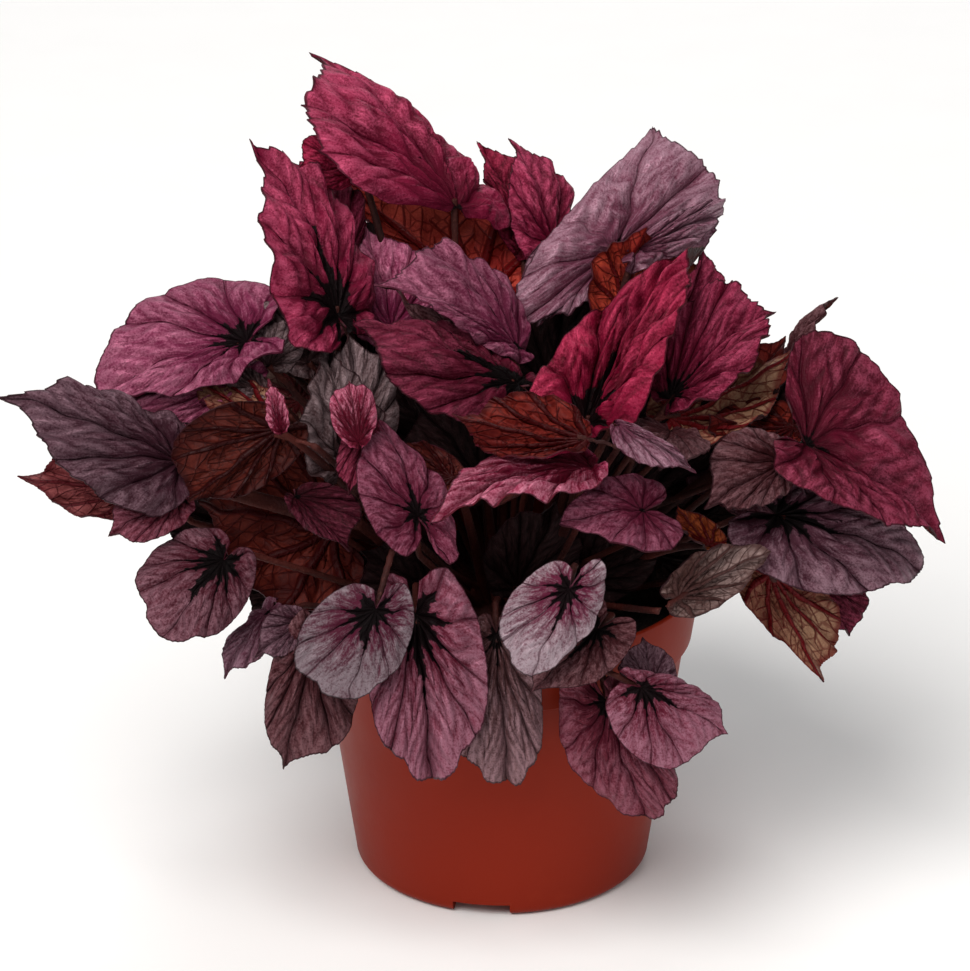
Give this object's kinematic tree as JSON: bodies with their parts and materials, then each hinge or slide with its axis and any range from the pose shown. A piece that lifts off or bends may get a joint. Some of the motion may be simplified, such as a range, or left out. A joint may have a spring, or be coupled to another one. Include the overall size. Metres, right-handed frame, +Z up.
{
  "type": "potted rex begonia",
  "caption": "Bushy rex begonia with crinkled crimson to silver-pink leaves on short red stalks, in a round terracotta-coloured plastic nursery pot.",
  "frame": {"origin": "on the floor, under the middle of the plant's spread", "axes": "+Z up; -Y is the front, as pictured; +X to the right seen from the front. X is the longest extent."},
  "size_m": [0.2768, 0.2074, 0.2381],
  "materials": {
    "pot": "satin terracotta-orange moulded plastic",
    "soil": "dark matte potting mix",
    "stalk": "red-brown hairy stalks and rhizome",
    "crimson": "crimson leaf with a dark feathered centre and a dusty metallic sheen",
    "pink": "bright pink leaf with dark veins and a dusty sheen",
    "magenta": "magenta leaf with a dark feathered centre",
    "silver": "silver-lilac leaf with dark veins",
    "mauve": "brownish mauve leaf with a dark centre",
    "grey": "grey-pink leaf with dark veins",
    "brick": "brick-red leaf underside with raised dark-red veins",
    "olive": "pale olive leaf underside with red veins and margin",
    "amber": "orange-brown leaf underside with dark-red veins"
  },
  "bodies": {
    "root": {"pot": "pot", "soil": "soil", "rhizome": "stalk", "leaf_01": "pink", "leaf_02": "pink", "leaf_03": "silver", "leaf_04": "silver", "leaf_05": "magenta", "leaf_06": "magenta", "leaf_07": "crimson", "leaf_08": "pink", "leaf_09": "grey", "leaf_10": "brick", "leaf_11": "grey", "leaf_12": "brick", "leaf_13": "mauve", "leaf_14": "mauve", "leaf_15": "pink", "leaf_16": "crimson", "leaf_17": "olive", "leaf_18": "pink", "leaf_19": "grey", "leaf_20": "mauve", "leaf_21": "grey", "leaf_22": "mauve", "leaf_23": "crimson", "leaf_24": "pink", "leaf_25": "silver", "leaf_26": "amber", "leaf_27": "magenta", "leaf_28": "crimson", "leaf_29": "crimson", "leaf_30": "mauve", "leaf_31": "olive", "leaf_32": "grey", "leaf_33": "grey", "leaf_34": "olive", "leaf_35": "crimson", "leaf_36": "brick", "leaf_37": "mauve", "leaf_38": "mauve", "leaf_39": "pink", "leaf_40": "brick", "leaf_41": "crimson", "leaf_42": "crimson", "leaf_43": "crimson", "leaf_44": "brick", "leaf_45": "grey", "leaf_46": "crimson", "leaf_47": "magenta", "leaf_48": "pink", "leaf_49": "magenta", "leaf_50": "pink", "leaf_51": "mauve", "leaf_52": "crimson", "leaf_53": "mauve", "leaf_54": "silver", "leaf_55": "pink", "leaf_56": "silver", "leaf_57": "magenta"}
  },
  "joints": []
}
